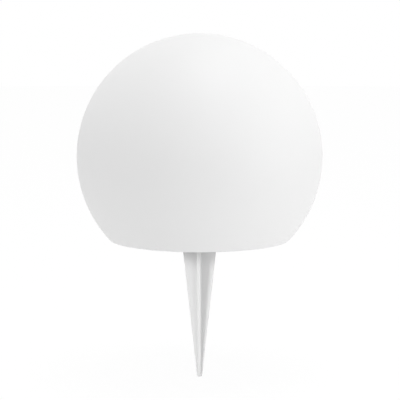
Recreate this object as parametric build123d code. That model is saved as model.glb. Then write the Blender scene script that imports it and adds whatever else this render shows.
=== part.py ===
from build123d import *
import os
from math import asin, cos, degrees, radians, sin, sqrt, tan

# Garden globe light: a milky ball with a flat base, lit from inside by a sealed rechargeable
# light module, standing on a ground spike that it lifts off.
# Millimetres, +Z up. The origin is the centre of the ball's flat base, which lies on the ground:
# the ball is above it and the spike's blade below it. The button is at -Y, the charging port at +Y.

# ---------------------------------------------------------------- driving dimensions
# Ball, moulded in one skin with a dish turned up into its flat base
globe_radius = 150.0
globe_centre = 102.0  # height of the ball's centre over its flat base
globe_wall = 3.0
base_corner = 3.5  # rounding between the ball and its flat base
dish_ledge = 19.5  # width of the dish's floor round its opening
dish_depth = 14.0
dish_mouth = 4.0  # rounding of the dish's rim
dish_corner = 2.0  # bevel round the dish's inner corner

# Threaded inserts moulded into the dish, and the screws that hold the base cap to them
insert_reach = 10.5  # from the opening's edge to the inserts' circle
insert_count = 4
insert_angle = 45.0  # of the first one
insert_radius = 3.2
insert_length = 8.0
boss_foot = 7.4
boss_top = 5.8
boss_roof = 1.6  # plastic over the end of an insert
base_screw_radius = 1.95
base_screw_length = 10.0
base_head_radius = 3.8
base_head_height = 2.2
base_drive = 1.45  # across the corners of the six-sided recess, from its middle
drive_share = 0.55  # how deep a recess goes into a screw's head

# Base cap
cap_gap = 0.4  # all round, between the cap and the dish
cap_rim = 5.0
cap_floor = 3.5
cap_chamfer = 1.0
spigot_wall = 2.2
spigot_height = 5.0
spigot_gap = 0.3
rib_count = 8
rib_wall = 1.8
head_sink = 0.3  # how deep a screw head lies under the cap's face
head_gap = 0.3
hole_gap = 0.25  # round a screw that passes through
thread_gap = 0.05  # round a screw in its thread

# Ring seals, of rectangular section, in grooves
base_seal_width = 2.6
base_seal_reach = 2.6  # from the opening's edge to the middle of the ring
module_seal_width = 1.8
module_seal_reach = 1.9  # from the housing's side to the middle of the ring
cover_seal_width = 1.4
cover_seal_inset = 0.5  # from the cover's side to the middle of the ring
seal_height = 1.3
seal_gap = 0.1

# Ground spike: a cross-shaped blade under a round flange, and a keyed peg over it
blade_length = 172.0  # from the ground down
blade_width_ground = 43.9
blade_width_tip = 5.9
blade_wall_ground = 4.6
blade_wall_tip = 3.6
blade_root = 0.6  # rounding in the corners of the cross
blade_edge = 0.4
tip_bevel = 0.9
flange_radius = 24.0
flange_height = 4.0
flange_chamfer = 0.8
peg_radius = 10.0
peg_length = 26.0
peg_wall = 3.0
peg_chamfer = 1.2
key_width = 3.0
key_height = 1.4
key_length = 20.0
peg_gap = 0.1  # between the peg and its socket
lift_gap = 0.2  # between the flange and the cap that rests on it
socket_wall = 2.9
socket_roof = 2.5
socket_end_gap = 1.5

# Charging port, its collar, and the flap that covers it
port_place = 34.0
port_width = 13.6
port_depth = 8.2
port_rounding = 2.0
collar_wall = 1.6
port_seal_height = 2.4
socket_shell_width = 8.9
socket_shell_depth = 3.2
socket_shell_wall = 0.3
socket_height = 8.5
socket_back = 2.0  # solid behind the tongue
end_share = 0.48  # rounding of the socket's ends, nearly half round
tongue_width = 6.7
tongue_wall = 0.7
tongue_length = 4.5
tongue_root = 1.0
flap_width = 18.0
flap_wall = 2.0
flap_overlap = 3.0  # from the port's inner edge to the flap's free edge
flap_gap = 0.1
flap_corner = 3.0
lip_gap = 0.55
lip_height = 1.2
hinge_reach = 3.2  # from the port's outer edge to the hinge's axis
hinge_pin_radius = 0.75
hinge_pin_gap = 0.05
knuckle_radius = 1.7
knuckle_gap = 0.25
ear_wall = 2.2

# Power button, its boot and its switch
button_place = -31.8
button_radius = 5.5
button_gap = 0.15
button_proud = 0.6
button_dish_radius = 9.0
button_dish_depth = 0.3
button_chamfer = 0.4
button_travel = 1.0  # the last of it, the click, pushes the switch's plunger in
button_flange_radius = 6.3
button_flange_height = 0.8
button_rest_gap = 0.1
stem_radius = 2.2
stem_length = 2.6
boot_rim_outer = 9.0
boot_rim_inner = 7.6
boot_fence = 1.0  # wall round the boot's rim
boot_rim_height = 1.5
boot_wall = 1.0
boot_knee = 0.8  # how far the sloping wall's foot lies under the top of the rim
boot_shoulder = 0.4
boot_crown = 3.0
boot_crown_edge = 0.5
switch_width = 6.0
switch_height = 3.1
plunger_radius = 1.7
switch_click = 0.25
boot_gap = 0.05

# Charge light guide and vent
guide_place = (12.5, 32.0)
guide_radius = 1.5
guide_head_radius = 2.4
guide_head_height = 1.2
guide_gap = 0.05
charge_led = (1.6, 0.8, 0.7)
vent_angle = 300.0
vent_circle = 34.0
vent_radius = 4.0
vent_wall = 0.4
vent_recess = 0.8
vent_hole_radius = 1.5

# Control board
board_lift = 9.5  # from the cap's floor to the board
board_wall = 1.6
board_gap = 0.8  # between the board and the housing
bore_gap = 1.4  # round the spike's socket
standoff_circle = 36.0
standoff_count = 4
standoff_radius = 3.0
board_screw_radius = 1.2
board_screw_length = 8.0
board_head_radius = 2.2
board_head_height = 1.6
board_drive = 1.0
part_room = 3.9  # over the board, under the battery holder
coil = (7.0, 7.0, 3.2)
coil_place = (-22.0, 13.0)
coil_chamfer = 1.0
chip_bodies = (  # width, depth, height, place
    (5.0, 5.0, 1.0, (-25.0, -9.0)),
    (6.0, 4.0, 1.2, (17.0, -23.0)),
    (3.0, 3.0, 1.0, (19.0, 20.0)),
)
can_radius = 3.0
can_height = 3.5
can_place = (-17.0, -22.0)

# Battery
cell_radius = 9.2
cell_length = 65.0
cell_place = 27.0
cell_gap = 0.3
holder_gap = 1.0  # between the holder and the housing
holder_wall = 2.5
cup_wall = 1.6
cup_height = 42.0
cup_window = 10.0
cup_band = 8.0
pillar_circle = 37.5
pillar_radius = 3.4
pillar_gap = 0.8
holder_screw_radius = 1.45
holder_screw_length = 8.0
holder_head_radius = 2.8
holder_head_height = 1.8
holder_drive = 1.2
tab_wall = 0.3
tab_width = 8.0
tab_leg_width = 4.0
tab_leg_place = 5.0
tab_slot_gap = 0.3
pad_radius = 8.0
pad_height = 1.9

# Module housing and its screws
housing_radius = 44.5
housing_wall = 2.5
housing_flange_width = 9.1
housing_flange_height = 3.0
housing_flange_gap = 0.4
housing_deck = 2.5
housing_bevel = 1.5
housing_screw_reach = 5.7  # from the housing's side to the screws' circle
housing_screw_count = 3
housing_screw_angle = 30.0
housing_screw_radius = 1.4
housing_screw_length = 10.0
housing_head_radius = 2.7
housing_head_height = 1.7
housing_drive = 1.1
housing_boss_radius = 3.2
housing_boss_height = 8.0

# Light board, heat spreader and cover
spreader_inset = 0.9  # between the spreader and the cover's inside
spreader_wall = 2.5
light_board_inset = 0.5  # from the spreader's edge to the board's
light_board_wall = 1.6
light_screw_circle = 24.0
light_screw_count = 3
light_screw_angle = 60.0
light_screw_radius = 1.45
light_screw_length = 9.0
light_head_radius = 2.6
light_head_height = 1.6
light_drive = 1.2
light_boss_radius = 3.2
chip = (3.0, 2.8, 0.8)
chip_rings = ((28.0, 12, 15.0), (14.0, 6, 0.0))  # circle, count, first angle
cover_radius = 37.2
cover_wall = 1.8
cover_side = 8.0
cover_height = 16.0
cover_top_radius = 26.0
cover_flange_width = 5.2
cover_flange_wall = 2.5
cover_screw_reach = 2.7  # from the cover's side to the screws' circle
cover_screw_count = 3
cover_screw_radius = 1.2
cover_screw_length = 7.0
cover_head_radius = 2.1
cover_head_height = 1.5
cover_drive = 1.0
cover_boss_radius = 2.8
boss_floor = 1.0  # plastic under the end of a blind screw hole

# Lead from the control board to the light board
plug_place = 24.0
plug_width = 7.6
plug_depth = 5.0
plug_height = 6.4
plug_gap = 0.7
lead_width = 3.6
lead_wall = 1.5
lead_bow = 2.5
lead_end_run = 13.0
lead_bend_share = 0.45  # of the shorter run beside a bend, taken up by its rounding

# ---------------------------------------------------------------- radii, from the module outwards
housing_bore = housing_radius - housing_wall
board_radius = housing_bore - board_gap
holder_radius = housing_bore - holder_gap
housing_rim = housing_radius + housing_flange_width
opening_radius = housing_rim + housing_flange_gap + spigot_wall + spigot_gap
spigot_radius = opening_radius - spigot_gap
dish_radius = opening_radius + dish_ledge
insert_circle = opening_radius + insert_reach
base_seal_radius = opening_radius + base_seal_reach
module_seal_radius = housing_radius + module_seal_reach
housing_screw_circle = housing_radius + housing_screw_reach
socket_outer = peg_radius + peg_gap + socket_wall
board_bore = socket_outer + bore_gap
cover_bore = cover_radius - cover_wall
cover_seal_radius = cover_radius - cover_seal_inset
cover_flange_radius = cover_radius + cover_flange_width
cover_screw_circle = cover_radius + cover_screw_reach
spreader_radius = cover_bore - spreader_inset
light_board_radius = spreader_radius - light_board_inset

# ---------------------------------------------------------------- heights worked out from them
cap_under = dish_depth - cap_rim
floor_top = cap_under + cap_floor
board_under = floor_top + board_lift
board_top = board_under + board_wall
holder_under = board_top + part_room
holder_top = holder_under + holder_wall
cell_low = holder_top + tab_wall
cell_high = cell_low + cell_length
deck_under = cell_high + tab_wall + pad_height
deck_top = deck_under + housing_deck
spreader_top = deck_top + spreader_wall
light_board_top = spreader_top + light_board_wall
flange_top = cap_under - lift_gap
flange_under = flange_top - flange_height
peg_top = flange_top + peg_length
socket_end = peg_top + socket_end_gap
insert_end = dish_depth + insert_length
stem_top = floor_top + button_rest_gap + button_flange_height + stem_length
boot_crown_high = stem_top + boot_gap + boot_wall
plug_high = spreader_top
plug_low = board_top

UPRIGHT = (Align.CENTER, Align.CENTER, Align.MIN)


# ---------------------------------------------------------------- shapes used throughout
def rod(radius, low, high, place=(0, 0)):
    """Upright round bar between two heights."""
    return Pos(place[0], place[1], low) * Cylinder(radius, high - low, align=UPRIGHT)


def tube(outer, inner, low, high, place=(0, 0)):
    return rod(outer, low, high, place) - rod(inner, low, high, place)


def block(width, depth, low, high, place=(0, 0)):
    return Pos(place[0], place[1], low) * Box(width, depth, high - low, align=UPRIGHT)


def rounded_block(width, depth, rounding, low, high, place=(0, 0)):
    outline = Pos(place[0], place[1], low) * RectangleRounded(width, depth, rounding)
    return extrude(outline, high - low)


def turned(*points):
    """Solid turned about the vertical axis from its half section, as (radius, height) points."""
    outline = make_face(Polyline(*points, close=True))
    return revolve(Plane.XZ * outline, Axis.Z, 360)


def circle_places(radius, count, first=0.0):
    angles = [radians(first + 360 * n / count) for n in range(count)]
    return [(radius * cos(a), radius * sin(a)) for a in angles]


def joined(shapes):
    """One solid from several that touch or cross."""
    first, *rest = shapes
    for shape in rest:
        first = first + shape
    return first


def cut_all(body, tools):
    for tool in tools:
        body = body - tool
    return body


def screw(head_radius, head_height, shank_radius, length, drive):
    """Screw standing on its head: the head's seat is at height 0 and the shank points up."""
    head = rod(head_radius, -head_height, 0)
    recess = Pos(0, 0, -head_height) * RegularPolygon(drive, 6)
    return head + rod(shank_radius, 0, length) - extrude(recess, head_height * drive_share)


def screws_up(pattern, seat, places):
    return [Pos(x, y, seat) * pattern for x, y in places]


def screws_down(pattern, seat, places):
    return [Pos(x, y, seat) * Rot(180, 0, 0) * pattern for x, y in places]


insert_places = circle_places(insert_circle, insert_count, insert_angle)
standoff_places = circle_places(standoff_circle, standoff_count, insert_angle)
pillar_places = circle_places(pillar_circle, 2)
housing_screw_places = circle_places(
    housing_screw_circle, housing_screw_count, housing_screw_angle
)
light_screw_places = circle_places(light_screw_circle, light_screw_count, light_screw_angle)
cover_screw_places = circle_places(cover_screw_circle, cover_screw_count)
cell_places = [(0, cell_place), (0, -cell_place)]
vent_spot = circle_places(vent_circle, 1, vent_angle)[0]
port_spot = (0, port_place)
button_spot = (0, button_place)
plug_spot = (plug_place, 0)

hinge_y = port_place + port_depth / 2 + hinge_reach
hinge_z = cap_under - flap_gap - knuckle_radius


# ---------------------------------------------------------------- ground spike
def tapered_rib(top_width, top_wall, tip_width, tip_wall, low, high):
    """Upright flat rib that narrows in width and in thickness towards its tip."""

    def side(plane, top, tip):
        outline = Polyline(
            (-top / 2, high), (top / 2, high), (tip / 2, low), (-tip / 2, low), close=True
        )
        return extrude(plane * make_face(outline), top_width, both=True)

    return side(Plane.XZ, top_width, tip_width) & side(Plane.YZ, top_wall, tip_wall)


def blade():
    """Two ribs crossed at right angles, rounded along their length, with a bevelled tip."""
    widening = (blade_width_ground - blade_width_tip) / blade_length
    thickening = (blade_wall_ground - blade_wall_tip) / blade_length
    top_width = blade_width_ground + widening * flange_under
    top_wall = blade_wall_ground + thickening * flange_under
    rib = tapered_rib(
        top_width, top_wall, blade_width_tip, blade_wall_tip, -blade_length, flange_under
    )
    cross = rib + Rot(0, 0, 90) * rib
    long_edges = cross.edges().filter_by(lambda e: e.length > blade_length / 2)
    cross = fillet(long_edges.filter_by(lambda e: on_diagonal(e.center())), blade_root)
    long_edges = cross.edges().filter_by(lambda e: e.length > blade_length / 2)
    cross = fillet(long_edges.filter_by(lambda e: reach(e) > top_wall), blade_edge)
    bevel_height = top_width
    tip_radius = blade_width_tip / 2 - tip_bevel
    cone = Cone(tip_radius, tip_radius + bevel_height, bevel_height, align=UPRIGHT)
    above = rod(tip_radius + bevel_height, bevel_height - blade_length, flange_under)
    return cross & (Pos(0, 0, -blade_length) * cone + above)


def on_diagonal(point):
    return abs(abs(point.X) - abs(point.Y)) < 0.01


def reach(edge):
    """How far the middle of an edge lies from the vertical axis along X or along Y."""
    return max(abs(edge.center().X), abs(edge.center().Y))


def ground_spike():
    flange = rod(flange_radius, flange_under, flange_top)
    flange = chamfer(flange.edges().group_by(Axis.Z)[0], flange_chamfer)
    peg = rod(peg_radius, flange_top, peg_top)
    peg = chamfer(peg.edges().group_by(Axis.Z)[-1], peg_chamfer)
    keys = block(2 * (peg_radius + key_height), key_width, flange_top, flange_top + key_length)
    core = rod(peg_radius - peg_wall, flange_top + peg_wall, peg_top)
    return blade() + flange + peg + keys - core


# ---------------------------------------------------------------- ball
def globe_form(inset):
    """The ball with its flat base and dish, every face drawn in by the same distance."""
    radius = globe_radius - inset
    low_angle = -degrees(asin((globe_centre - inset) / radius))
    edge = sqrt(radius**2 - (globe_centre - inset) ** 2)
    wall, roof = dish_radius + inset, dish_depth + inset
    arc = CenterArc((0, globe_centre), radius, low_angle, 90 - low_angle)
    base = Polyline(
        (0, globe_centre + radius), (0, roof), (wall, roof), (wall, inset), (edge, inset)
    )
    outline = make_face([arc, base])
    outline = chamfer(outline.vertices().sort_by_distance((wall, roof))[0], dish_corner)
    if not inset:
        for corner, rounding in (((edge, 0), base_corner), ((wall, 0), dish_mouth)):
            outline = fillet(outline.vertices().sort_by_distance(corner)[0], rounding)
    return revolve(Plane.XZ * outline, Axis.Z, 360)


def globe_shell():
    skin = globe_form(0) - globe_form(globe_wall)
    skin -= rod(opening_radius, 0, dish_depth + 2 * globe_wall)
    foot = dish_depth + globe_wall / 2
    height = insert_end + boss_roof - foot
    boss = Cone(boss_foot, boss_top, height, align=UPRIGHT)
    for x, y in insert_places:
        skin += Pos(x, y, foot) * boss
        skin -= rod(insert_radius, dish_depth - 1, insert_end, (x, y))
    return skin


def threaded_inserts():
    bore = base_screw_radius + thread_gap
    return [tube(insert_radius, bore, dish_depth, insert_end, p) for p in insert_places]


# ---------------------------------------------------------------- base cap
def seal_ring(radius, width, top):
    return tube(radius + width / 2, radius - width / 2, top - seal_height, top)


def seal_groove(radius, width, top):
    outer = radius + width / 2 + seal_gap
    inner = radius - width / 2 - seal_gap
    return tube(outer, inner, top - seal_height, top)


def through_hole(radius, head_radius, head_height, place):
    """Hole for a screw put in from under the cap, with its head sunk out of the way."""
    seat = cap_under + head_sink + head_height
    return rod(radius + hole_gap, cap_under, dish_depth, place) + rod(
        head_radius + head_gap, cap_under, seat, place
    )


def socket_bore():
    radius = peg_radius + peg_gap
    key_reach = 2 * (peg_radius + key_height + peg_gap)
    keyway = block(key_reach, key_width + 2 * peg_gap, cap_under, socket_end)
    return rod(radius, cap_under, socket_end) + keyway


def cap_ribs():
    length = housing_bore - socket_outer + socket_wall / 2
    middle = housing_bore - length / 2
    rib = block(length, rib_wall, floor_top, dish_depth, (middle, 0))
    angles = [360 * n / rib_count for n in range(rib_count)]
    return [Rot(0, 0, a) * rib for a in angles if a not in (90, 270)]


def hinge_ears():
    """Two lugs under the cap that hold the ends of the flap's pin."""
    inner = flap_width / 2 + knuckle_gap
    lug = block(ear_wall, 2 * knuckle_radius, hinge_z, cap_under, (0, hinge_y))
    round_end = Pos(0, hinge_y, hinge_z) * Rot(0, 90, 0) * Cylinder(knuckle_radius, ear_wall)
    ear = lug + round_end
    return [Pos(side * (inner + ear_wall / 2), 0, 0) * ear for side in (-1, 1)]


def pin_hole(radius):
    return Pos(0, hinge_y, hinge_z) * Rot(0, 90, 0) * Cylinder(radius, 2 * flap_width)


def base_cap():
    radius = dish_radius - cap_gap
    plate = rod(radius, cap_under, dish_depth)
    plate = chamfer(plate.edges().group_by(Axis.Z)[0], cap_chamfer)
    plate = chamfer(plate.edges().group_by(Axis.Z)[-1], dish_corner)
    plate -= rod(housing_bore, floor_top, dish_depth)
    spigot_top = dish_depth + spigot_height
    collar_top = board_under - port_seal_height
    rim = boot_rim_outer + boot_fence
    plate = joined(
        [
            plate,
            tube(spigot_radius, spigot_radius - spigot_wall, dish_depth, spigot_top),
            rod(socket_outer, cap_under, socket_end + socket_roof),
            *cap_ribs(),
            *[rod(standoff_radius, floor_top, board_under, p) for p in standoff_places],
            *[rod(pillar_radius, floor_top, holder_under, p) for p in pillar_places],
            rounded_block(
                port_width + 2 * collar_wall,
                port_depth + 2 * collar_wall,
                port_rounding + collar_wall,
                floor_top,
                collar_top,
                port_spot,
            ),
            tube(rim, boot_rim_outer, floor_top, floor_top + boot_rim_height, button_spot),
            tube(
                guide_head_radius + rib_wall,
                guide_head_radius + guide_gap,
                floor_top,
                floor_top + guide_head_height,
                guide_place,
            ),
            *hinge_ears(),
        ]
    )
    board_hole = board_screw_radius + thread_gap
    holder_hole = holder_screw_radius + thread_gap
    board_hole_low = board_top - board_screw_length - boss_floor
    holder_hole_low = holder_top - holder_screw_length - boss_floor
    vent_top = cap_under + vent_recess
    return cut_all(
        plate,
        [
            socket_bore(),
            seal_groove(base_seal_radius, base_seal_width, dish_depth),
            seal_groove(module_seal_radius, module_seal_width, dish_depth),
            *[
                through_hole(base_screw_radius, base_head_radius, base_head_height, p)
                for p in insert_places
            ],
            *[
                through_hole(housing_screw_radius, housing_head_radius, housing_head_height, p)
                for p in housing_screw_places
            ],
            *[rod(board_hole, board_hole_low, board_under, p) for p in standoff_places],
            *[rod(holder_hole, holder_hole_low, holder_under, p) for p in pillar_places],
            rounded_block(
                port_width, port_depth, port_rounding, cap_under, collar_top, port_spot
            ),
            rod(button_radius + button_gap, cap_under, floor_top, button_spot),
            rod(guide_radius + guide_gap, cap_under, floor_top, guide_place),
            rod(vent_radius + guide_gap, cap_under, vent_top, vent_spot),
            rod(vent_hole_radius, cap_under, floor_top, vent_spot),
            pin_hole(hinge_pin_radius),
        ],
    )


def base_screws():
    pattern = screw(
        base_head_radius, base_head_height, base_screw_radius, base_screw_length, base_drive
    )
    return screws_up(pattern, cap_under + head_sink + base_head_height, insert_places)


def housing_screws():
    pattern = screw(
        housing_head_radius,
        housing_head_height,
        housing_screw_radius,
        housing_screw_length,
        housing_drive,
    )
    seat = cap_under + head_sink + housing_head_height
    return screws_up(pattern, seat, housing_screw_places)


# ---------------------------------------------------------------- charging port and its flap
def port_seal():
    low = board_under - port_seal_height
    outer = rounded_block(
        port_width + 2 * collar_wall,
        port_depth + 2 * collar_wall,
        port_rounding + collar_wall,
        low,
        board_under,
        port_spot,
    )
    return outer - rounded_block(
        port_width, port_depth, port_rounding, low, board_under, port_spot
    )


def charging_socket():
    low = board_under - socket_height
    width, depth = socket_shell_width, socket_shell_depth
    inner_width, inner_depth = width - 2 * socket_shell_wall, depth - 2 * socket_shell_wall
    back_low = board_under - socket_back
    shell = rounded_block(width, depth, depth * end_share, low, board_under, port_spot)
    shell -= rounded_block(
        inner_width, inner_depth, inner_depth * end_share, low, back_low, port_spot
    )
    tongue_high = back_low + tongue_root
    tongue_low = back_low - tongue_length
    return shell + block(tongue_width, tongue_wall, tongue_low, tongue_high, port_spot)


def port_flap():
    """Flap with a raised lip that plugs the port, and a knuckle round the hinge pin."""
    top = cap_under - flap_gap
    low = top - flap_wall
    free_edge = port_place - port_depth / 2 - flap_overlap
    depth = hinge_y - free_edge
    middle = (0, (hinge_y + free_edge) / 2)
    plate = block(flap_width, depth, low, top, middle)
    plate = fillet(plate.edges().filter_by(Axis.Z).group_by(Axis.Y)[0], flap_corner)
    lip = rounded_block(
        port_width - 2 * lip_gap,
        port_depth - 2 * lip_gap,
        port_rounding - lip_gap,
        top,
        top + flap_gap + lip_height,
        port_spot,
    )
    knuckle = Pos(0, hinge_y, hinge_z) * Rot(0, 90, 0) * Cylinder(knuckle_radius, flap_width)
    return plate + knuckle + lip - pin_hole(hinge_pin_radius + hinge_pin_gap)


def hinge_pin():
    length = flap_width + 2 * (knuckle_gap + ear_wall)
    return Pos(0, hinge_y, hinge_z) * Rot(0, 90, 0) * Cylinder(hinge_pin_radius, length)


# ---------------------------------------------------------------- power button
def power_button():
    low = cap_under - button_proud
    flange_low = floor_top + button_rest_gap
    flange_high = flange_low + button_flange_height
    key = rod(button_radius, low, flange_high, button_spot)
    key = chamfer(key.edges().group_by(Axis.Z)[0], button_chamfer)
    key += rod(button_flange_radius, flange_low, flange_high, button_spot)
    key += rod(stem_radius, flange_high, stem_top, button_spot)
    centre = low - button_dish_radius + button_dish_depth
    return key - Pos(0, button_place, centre) * Sphere(button_dish_radius)


def button_boot():
    """Soft boot over the button's stem, which keeps water from the switch."""
    crown_low = boot_crown_high - boot_wall
    rim_high = floor_top + boot_rim_height
    knee = rim_high - boot_knee
    cup = turned(
        (boot_rim_inner, floor_top),
        (boot_rim_outer, floor_top),
        (boot_rim_outer, rim_high),
        (boot_rim_inner + boot_shoulder, rim_high),
        (boot_crown + boot_crown_edge, boot_crown_high),
        (0, boot_crown_high),
        (0, crown_low),
        (boot_crown, crown_low),
        (boot_rim_inner, knee),
    )
    return Pos(0, button_place, 0) * cup


def button_switch():
    low = board_under - switch_height
    body = block(switch_width, switch_width, low, board_under, button_spot)
    plunger_low = boot_crown_high + button_travel - switch_click
    return body + rod(plunger_radius, plunger_low, low, button_spot)


# ---------------------------------------------------------------- light guide and vent
def charge_light_guide():
    led_low = board_under - charge_led[2]
    head_high = floor_top + guide_head_height
    guide = rod(guide_radius, cap_under, led_low - guide_gap, guide_place)
    return guide + rod(guide_head_radius, floor_top, head_high, guide_place)


def vent_membrane():
    top = cap_under + vent_recess
    return rod(vent_radius, top - vent_wall, top, vent_spot)


# ---------------------------------------------------------------- control board
def control_board():
    board = tube(board_radius, board_bore, board_under, board_top)
    notch = pillar_radius + pillar_gap
    notches = []
    for x, y in pillar_places:
        side = 1 if x > 0 else -1
        notches.append(rod(notch, board_under, board_top, (x, y)))
        notches.append(
            block(2 * notch, 2 * notch, board_under, board_top, (x + side * notch, y))
        )
    holes = [
        rod(board_screw_radius + hole_gap, board_under, board_top, p) for p in standoff_places
    ]
    return cut_all(board, notches + holes + tab_slots(board_under, board_top))


def tab_slots(low, high):
    width = tab_wall + 2 * tab_slot_gap
    depth = tab_leg_width + 2 * tab_slot_gap
    x = tab_leg_place + tab_wall / 2
    return [block(width, depth, low, high, (x, y)) for _, y in cell_places]


def board_parts():
    wound = block(coil[0], coil[1], board_top, board_top + coil[2], coil_place)
    wound = chamfer(wound.edges().filter_by(Axis.Z), coil_chamfer)
    chips = [
        block(width, depth, board_top, board_top + height, place)
        for width, depth, height, place in chip_bodies
    ]
    can = rod(can_radius, board_top, board_top + can_height, can_place)
    led = block(
        charge_led[0], charge_led[1], board_under - charge_led[2], board_under, guide_place
    )
    return [wound, *chips, can, led]


def board_screws():
    pattern = screw(
        board_head_radius, board_head_height, board_screw_radius, board_screw_length, board_drive
    )
    return screws_down(pattern, board_top, standoff_places)


# ---------------------------------------------------------------- battery
def battery_holder():
    """Plate on two pillars, with an upright cup for each cell, open at both sides."""
    plate = tube(holder_radius, board_bore, holder_under, holder_top)
    cup_radius = cell_radius + cell_gap
    cup_top = holder_top + cup_height
    for place in cell_places:
        cup = tube(cup_radius + cup_wall, cup_radius, holder_under, cup_top, place)
        window = block(
            4 * cup_radius, cup_window, holder_top + cup_band, cup_top - cup_band, place
        )
        plate = plate + (cup - window)
    window = block(
        plug_width + 2 * plug_gap, plug_depth + 2 * plug_gap, holder_under, holder_top, plug_spot
    )
    holes = [
        rod(holder_screw_radius + hole_gap, holder_under, holder_top, p) for p in pillar_places
    ]
    return cut_all(plate, [window, *holes, *tab_slots(holder_under, holder_top)])


def battery_cells():
    return [rod(cell_radius, cell_low, cell_high, place) for place in cell_places]


def cell_tabs():
    """Strap over both cells, and a foot under each whose leg is soldered into the board."""
    strap = block(tab_width, 2 * cell_place + tab_width, cell_high, cell_high + tab_wall)
    tabs = [strap]
    x = tab_leg_place + tab_wall / 2
    for _, y in cell_places:
        foot = block(2 * x, tab_width, holder_top, cell_low, (0, y))
        leg = block(tab_wall, tab_leg_width, board_under, cell_low, (x, y))
        tabs.append(foot + leg)
    return tabs


def cell_pads():
    low = cell_high + tab_wall
    return [rod(pad_radius, low, deck_under, place) for place in cell_places]


def holder_screws():
    pattern = screw(
        holder_head_radius,
        holder_head_height,
        holder_screw_radius,
        holder_screw_length,
        holder_drive,
    )
    return screws_down(pattern, holder_top, pillar_places)


# ---------------------------------------------------------------- module housing
def module_housing():
    """Tub turned upside down over the board and battery, with the light board on its deck."""
    flange_high = dish_depth + housing_flange_height
    tub = turned(
        (housing_bore, dish_depth),
        (housing_rim, dish_depth),
        (housing_rim, flange_high),
        (housing_radius, flange_high),
        (housing_radius, deck_top - housing_bevel),
        (housing_radius - housing_bevel, deck_top),
        (0, deck_top),
        (0, deck_under),
        (housing_bore, deck_under),
    )
    boss_high = flange_high + housing_boss_height
    light_low = spreader_top + light_board_wall - light_screw_length - boss_floor
    cover_low = deck_top + cover_flange_wall - cover_screw_length - boss_floor
    middle = housing_radius - housing_wall / 2
    outside = [
        rod(housing_boss_radius, dish_depth, boss_high, p) - rod(middle, dish_depth, boss_high)
        for p in housing_screw_places
    ]
    light_bosses = [
        rod(light_boss_radius, light_low - boss_floor, deck_under, p)
        for p in light_screw_places
    ]
    cover_bosses = [
        rod(cover_boss_radius, cover_low - boss_floor, deck_under, p)
        & rod(middle, cover_low - boss_floor, deck_under)
        for p in cover_screw_places
    ]
    tub = joined([tub, *outside, *light_bosses, *cover_bosses])
    housing_hole = housing_screw_radius + thread_gap
    light_hole = light_screw_radius + thread_gap
    cover_hole = cover_screw_radius + thread_gap
    return cut_all(
        tub,
        [
            *[
                rod(housing_hole, dish_depth, boss_high - boss_floor, p)
                for p in housing_screw_places
            ],
            *[rod(light_hole, light_low, deck_top, p) for p in light_screw_places],
            *[rod(cover_hole, cover_low, deck_top, p) for p in cover_screw_places],
            seal_groove(cover_seal_radius, cover_seal_width, deck_top),
            plug_window(deck_under, deck_top),
        ],
    )


def plug_window(low, high):
    return block(plug_width + 2 * plug_gap, plug_depth + 2 * plug_gap, low, high, plug_spot)


# ---------------------------------------------------------------- light board and cover
def heat_spreader():
    plate = rod(spreader_radius, deck_top, spreader_top)
    holes = [
        rod(light_screw_radius + hole_gap, deck_top, spreader_top, p) for p in light_screw_places
    ]
    return cut_all(plate, [*holes, plug_window(deck_top, spreader_top)])


def light_board():
    board = rod(light_board_radius, spreader_top, light_board_top)
    holes = [
        rod(light_screw_radius + hole_gap, spreader_top, light_board_top, p)
        for p in light_screw_places
    ]
    return cut_all(board, holes)


def light_chips():
    width, depth, height = chip
    chips = []
    for circle, count, first in chip_rings:
        for n in range(count):
            one = block(width, depth, light_board_top, light_board_top + height, (circle, 0))
            chips.append(Rot(0, 0, first + 360 * n / count) * one)
    return chips


def light_board_screws():
    pattern = screw(
        light_head_radius, light_head_height, light_screw_radius, light_screw_length, light_drive
    )
    return screws_down(pattern, light_board_top, light_screw_places)


def light_cover():
    """Frosted cover: a round side, a sloping shoulder, a flat top and a flange for its screws."""
    side_top = deck_top + cover_side
    crown = deck_top + cover_height
    outer = turned(
        (0, deck_top),
        (cover_radius, deck_top),
        (cover_radius, side_top),
        (cover_top_radius, crown),
        (0, crown),
    )
    inner = turned(
        (0, deck_top),
        (cover_bore, deck_top),
        (cover_bore, side_top - cover_wall / 2),
        (cover_top_radius - cover_wall / 2, crown - cover_wall),
        (0, crown - cover_wall),
    )
    flange = rod(cover_flange_radius, deck_top, deck_top + cover_flange_wall)
    cover = outer + flange - inner
    holes = [
        rod(cover_screw_radius + hole_gap, deck_top, deck_top + cover_flange_wall, p)
        for p in cover_screw_places
    ]
    return cut_all(cover, holes)


def cover_screws():
    pattern = screw(
        cover_head_radius, cover_head_height, cover_screw_radius, cover_screw_length, cover_drive
    )
    return screws_down(pattern, deck_top + cover_flange_wall, cover_screw_places)


# ---------------------------------------------------------------- lead to the light board
def lead_plugs():
    """Plug on the control board, and its like under the light board."""
    lower = block(plug_width, plug_depth, plug_low, plug_low + plug_height, plug_spot)
    upper = block(plug_width, plug_depth, plug_high - plug_height, plug_high, plug_spot)
    return [lower, upper]


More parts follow.
